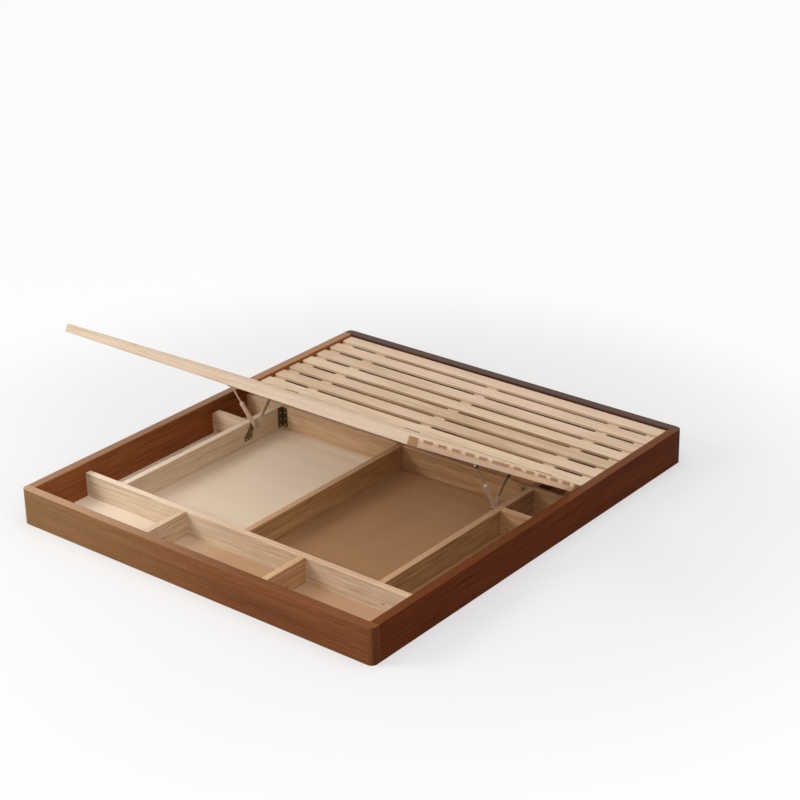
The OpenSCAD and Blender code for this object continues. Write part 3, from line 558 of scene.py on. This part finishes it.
def head_mesh(name, radius, height, sides, cross=0.0):
    """A fixing's head, its seat on z = 0, its crown along +Z and its recess cross deep."""
    shape = bmesh.new()
    rings = []
    for share, rise in ((1.0, 0.0), (0.96, 0.55), (0.72, 0.9), (0.42, 1.0)):
        ring = []
        for n in range(sides):
            angle = 2 * math.pi * n / sides
            sunk = cross if share < 0.8 and n % (sides // 4) == 0 else 0.0
            ring.append(shape.verts.new((radius * share * math.cos(angle),
                                         radius * share * math.sin(angle),
                                         height * rise - sunk)))
        rings.append(ring)
    centre = shape.verts.new((0, 0, height - cross * 1.3))
    for lower, upper in zip(rings, rings[1:]):
        for n in range(sides):
            m = (n + 1) % sides
            shape.faces.new((lower[n], lower[m], upper[m], upper[n]))
    for n in range(sides):
        shape.faces.new((rings[-1][n], rings[-1][(n + 1) % sides], centre))
    shape.faces.new(list(reversed(rings[0])))
    mesh = bpy.data.meshes.new(name)
    shape.to_mesh(mesh)
    shape.free()
    return mesh


def fixings_tree():
    """Sets a head on each point, its crown along the point's own direction."""
    tree = bpy.data.node_groups.new("set_fixings", "GeometryNodeTree")
    tree.is_modifier = True
    sockets = (("Geometry", "Geometry"), ("Head", "Object"), ("Size", "Float"),
               ("Seed", "Int"), ("Finish", "Material"))
    ids = {}
    for name, kind in sockets:
        item = tree.interface.new_socket(name, in_out="INPUT", socket_type="NodeSocket" + kind)
        ids[name] = item.identifier
    tree.interface.new_socket("Geometry", in_out="OUTPUT", socket_type="NodeSocketGeometry")

    def add(kind, **settings):
        made = tree.nodes.new(kind)
        for key, value in settings.items():
            setattr(made, key, value)
        return made

    def link(first, second):
        tree.links.new(first, second)

    start, end = add("NodeGroupInput"), add("NodeGroupOutput")
    points = add("GeometryNodeMeshToPoints")
    info = add("GeometryNodeObjectInfo", transform_space="ORIGINAL")
    aim = add("GeometryNodeInputNamedAttribute", data_type="FLOAT_VECTOR")
    aim.inputs["Name"].default_value = "aim"
    turn = add("FunctionNodeAlignRotationToVector", axis="Z")
    spin = add("FunctionNodeRandomValue", data_type="FLOAT")
    spin.inputs[2].default_value, spin.inputs[3].default_value = 0.0, math.tau
    own = add("FunctionNodeAxisAngleToRotation")
    own.inputs["Axis"].default_value = (0, 0, 1)
    both = add("FunctionNodeRotateRotation", rotation_space="LOCAL")
    place = add("GeometryNodeInstanceOnPoints")
    real = add("GeometryNodeRealizeInstances")
    paint = add("GeometryNodeSetMaterial")
    link(start.outputs["Geometry"], points.inputs["Mesh"])
    link(start.outputs["Head"], info.inputs["Object"])
    link(start.outputs["Seed"], spin.inputs["Seed"])
    link(aim.outputs["Attribute"], turn.inputs["Vector"])
    link(spin.outputs[1], own.inputs["Angle"])
    link(turn.outputs[0], both.inputs[0])
    link(own.outputs[0], both.inputs[1])
    link(points.outputs[0], place.inputs["Points"])
    link(info.outputs["Geometry"], place.inputs["Instance"])
    link(both.outputs[0], place.inputs["Rotation"])
    link(start.outputs["Size"], place.inputs["Scale"])
    link(place.outputs[0], real.inputs[0])
    link(real.outputs[0], paint.inputs["Geometry"])
    link(start.outputs["Finish"], paint.inputs["Material"])
    link(paint.outputs[0], end.inputs[0])
    return tree, ids


FIXINGS, FIXING_IDS = fixings_tree()


def set_fixings(name, body, mesh, spots, finish, seed):
    """One piece that holds a head at each (point, direction), carried by a body."""
    head = bpy.data.objects.new(name + "_head", mesh)
    bpy.context.scene.collection.objects.link(head)
    cloud = bpy.data.meshes.new(name + "_spots")
    cloud.from_pydata([tuple(point) for point, _ in spots], [], [])
    aim = cloud.attributes.new("aim", "FLOAT_VECTOR", "POINT")
    for item, (_, direction) in zip(aim.data, spots):
        item.vector = direction
    carrier = bpy.data.objects.new(name + "_spots", cloud)
    bpy.context.scene.collection.objects.link(carrier)
    modifier = carrier.modifiers.new("fixings", "NODES")
    modifier.node_group = FIXINGS
    modifier[FIXING_IDS["Head"]] = head
    modifier[FIXING_IDS["Size"]] = 1.0
    modifier[FIXING_IDS["Seed"]] = seed
    modifier[FIXING_IDS["Finish"]] = finish
    graph = bpy.context.evaluated_depsgraph_get()
    made = bpy.data.meshes.new_from_object(carrier.evaluated_get(graph), depsgraph=graph)
    carrier.modifiers.remove(modifier)
    bpy.data.objects.remove(carrier)
    bpy.data.objects.remove(head)
    made.name = name
    piece = bpy.data.objects.new(name, made)
    bpy.context.scene.collection.objects.link(piece)
    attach(piece, body)


def opened(point, is_direction=False):
    """A point of the closed lid, given from the hinge line, where the open lid carries it."""
    turned = Matrix.Rotation(-LID_OPEN, 3, "X") @ Vector(point)
    return turned if is_direction else turned + HINGE


BRAD_STAGGER = 0.006                # each brad of a pair, sideways from the bearer's middle
BRAD_INSET = 0.017                  # and at least so far from the slat's middle
BRAD_DRIFT = 0.004                  # how far a brad may miss its mark sideways
BRAD_SPREAD = 0.003                 # and towards the slat's edge


def brad_spots(start, pitch, boards, lot):
    """Two brads where each slat crosses each bearer, from the hinge line."""
    for n in boards:
        for x in BEARER_X:
            for side in (-1, 1):
                aside = lot.uniform(-BRAD_DRIFT, BRAD_DRIFT) + side * BRAD_STAGGER
                inset = side * (BRAD_INSET + lot.uniform(0, BRAD_SPREAD))
                yield x + aside, start + n * pitch + SLAT_W / 2 + inset, 0.0


brad = head_mesh("brad", radius=0.0011, height=0.0002, sides=8)
lot = random.Random(8)
deck_brads = [(HINGE + Vector(p), (0, 0, 1))
              for p in brad_spots(DECK_START, DECK_PITCH, range(1, 7), lot)]
set_fixings("deck_brads", "root", brad, deck_brads, zinc, 2)
up = tuple(opened((0, 0, 1), is_direction=True))
lid_brads = [(opened(p), up) for p in brad_spots(LID_MIDDLE, LID_PITCH, range(0, 6), lot)]
lid_brads += [(opened(p), up) for p in brad_spots(LID_FRONT, LID_PITCH, range(1, 7), lot)]
set_fixings("lid_brads", "lid", brad, lid_brads, lid_zinc, 3)

HINGE_X = (-0.7, 0, 0.7)            # middles of the three hinges
LEAF_HOLES = ((-0.028, -0.019), (0, -0.022), (0.028, -0.019))
LEAF_FACE = 0.003                   # from the hinge line to the face of either leaf

hinge_head = head_mesh("hinge_screw", radius=0.0034, height=0.0006, sides=16, cross=0.0005)
hinge_spots = [(x + hole_x, hole_z) for x in HINGE_X for hole_x, hole_z in LEAF_HOLES]
set_fixings("hinge_deck_screws", "root", hinge_head,
            [(HINGE + Vector((x, LEAF_FACE, z)), (0, -1, 0)) for x, z in hinge_spots], zinc, 4)
backwards = tuple(opened((0, 1, 0), is_direction=True))
set_fixings("hinge_lid_screws", "lid", hinge_head,
            [(opened((x, -LEAF_FACE, z)), backwards) for x, z in hinge_spots], lid_zinc, 5)


# ---- Floor, light and camera ----

def seen_directly(tree):
    """1 for what the camera sees, directly, in a reflection or through glass, and else 0."""
    path = tree.nodes.new("ShaderNodeLightPath")
    seen = path.outputs["Is Camera Ray"]
    for name in ("Is Glossy Ray", "Is Transmission Ray"):
        more = tree.nodes.new("ShaderNodeMath")
        more.operation = "MAXIMUM"
        tree.links.new(seen, more.inputs[0])
        tree.links.new(path.outputs[name], more.inputs[1])
        seen = more.outputs[0]
    return seen


def whiten(tree, shader, white, share, output):
    """Puts white over a shader by this share, on the way to the tree's output."""
    blend = tree.nodes.new("ShaderNodeMixShader")
    tree.links.new(share, blend.inputs["Fac"])
    tree.links.new(shader, blend.inputs[1])
    tree.links.new(white, blend.inputs[2])
    tree.links.new(blend.outputs[0], tree.nodes[output].inputs["Surface"])


FLOOR_GREY = (0.7, 0.7, 0.7, 1)
FLOOR_DROP = 0.0005                 # keeps the floor just clear of the bed's underside
SHADOW_REACH = (1.3, 2.6)           # the floor whitens between these distances from the middle
NEAR_WHITE, FAR_WHITE = 0.45, 0.95  # less white near the bed, so that its shadow shows


def studio_floor():
    sheet = bmesh.new()
    bmesh.ops.create_grid(sheet, x_segments=1, y_segments=1, size=30)
    mesh = bpy.data.meshes.new("studio_floor")
    sheet.to_mesh(mesh)
    sheet.free()
    floor = bpy.data.objects.new("studio_floor", mesh)
    floor.location.z = -FLOOR_DROP
    bpy.context.scene.collection.objects.link(floor)
    f = Finish("studio_floor", Base_Color=FLOOR_GREY, Roughness=0.9, Specular_IOR_Level=0.1)
    away = f.node("VectorMath", {"operation": "LENGTH"}, {0: f.place()}, "Value")
    whiter = away.between(*SHADOW_REACH) * (FAR_WHITE - NEAR_WHITE) + NEAR_WHITE
    share = Flow(f, seen_directly(f.tree)) * whiter
    whiten(f.tree, f.shader.outputs[0], f.node("Emission").socket, share.socket,
           "Material Output")
    mesh.materials.append(f.material)


WARM_WHITE, PLAIN_WHITE = (1, 0.94, 0.87, 1), (1, 1, 1, 1)
SOFT_LIGHT = 0.38                   # strength of the light from all round


def studio_world():
    """Soft light from all round, and plain white where the background itself is seen."""
    world = bpy.data.worlds.new("studio")
    bpy.context.scene.world = world
    world.use_nodes = True
    tree = world.node_tree
    soft, white = tree.nodes["Background"], tree.nodes.new("ShaderNodeBackground")
    for light, colour, strength in ((soft, WARM_WHITE, SOFT_LIGHT), (white, PLAIN_WHITE, 1.0)):
        light.inputs["Color"].default_value = colour
        light.inputs["Strength"].default_value = strength
    whiten(tree, soft.outputs[0], white.outputs[0], seen_directly(tree), "World Output")


def soft_box(name, place, aim, size, power):
    """A square studio lamp at place that looks at aim."""
    lamp = bpy.data.lights.new(name, "AREA")
    lamp.shape, lamp.size, lamp.energy = "SQUARE", size, power
    holder = bpy.data.objects.new(name, lamp)
    holder.location = place
    holder.rotation_euler = (Vector(aim) - Vector(place)).to_track_quat("-Z", "Y").to_euler()
    bpy.context.scene.collection.objects.link(holder)


studio_floor()
studio_world()
soft_box("key_lamp", (-3.0, -4.0, 3.1), aim=(-0.2, -0.3, 0), size=2.4, power=165)
soft_box("top_lamp", (0.8, 0.0, 5.5), aim=(0, 0, 0), size=4.5, power=165)
soft_box("fill_lamp", (3.2, -3.2, 4.2), aim=(0.1, -0.2, 0), size=3.0, power=80)

CAMERA_SPOT = (5.0865, -5.9621, 3.9961)
CAMERA_ANGLES = (39.175, 24.518, -1.123)    # round the bed, up from the floor, and roll
LENS, SENSOR = 92.66, 36                    # in millimetres


def photo_camera():
    """The photograph's own view: a long lens from above the front right corner."""
    azimuth, height, roll = (math.radians(angle) for angle in CAMERA_ANGLES)
    back = Vector((math.sin(azimuth) * math.cos(height), -math.cos(azimuth) * math.cos(height),
                   math.sin(height)))
    right = Vector((math.cos(azimuth), math.sin(azimuth), 0))
    above = back.cross(right)
    tilted = math.cos(roll) * right + math.sin(roll) * above
    above = math.cos(roll) * above - math.sin(roll) * right
    lens = bpy.data.cameras.new("photo_camera")
    lens.lens, lens.sensor_width = LENS, SENSOR
    lens.clip_end = 100
    camera = bpy.data.objects.new("photo_camera", lens)
    turn = Matrix((tilted, above, back)).transposed().to_4x4()
    camera.matrix_world = Matrix.Translation(CAMERA_SPOT) @ turn
    bpy.context.scene.collection.objects.link(camera)
    bpy.context.scene.camera = camera


photo_camera()
bpy.context.scene.view_settings.view_transform = "Standard"
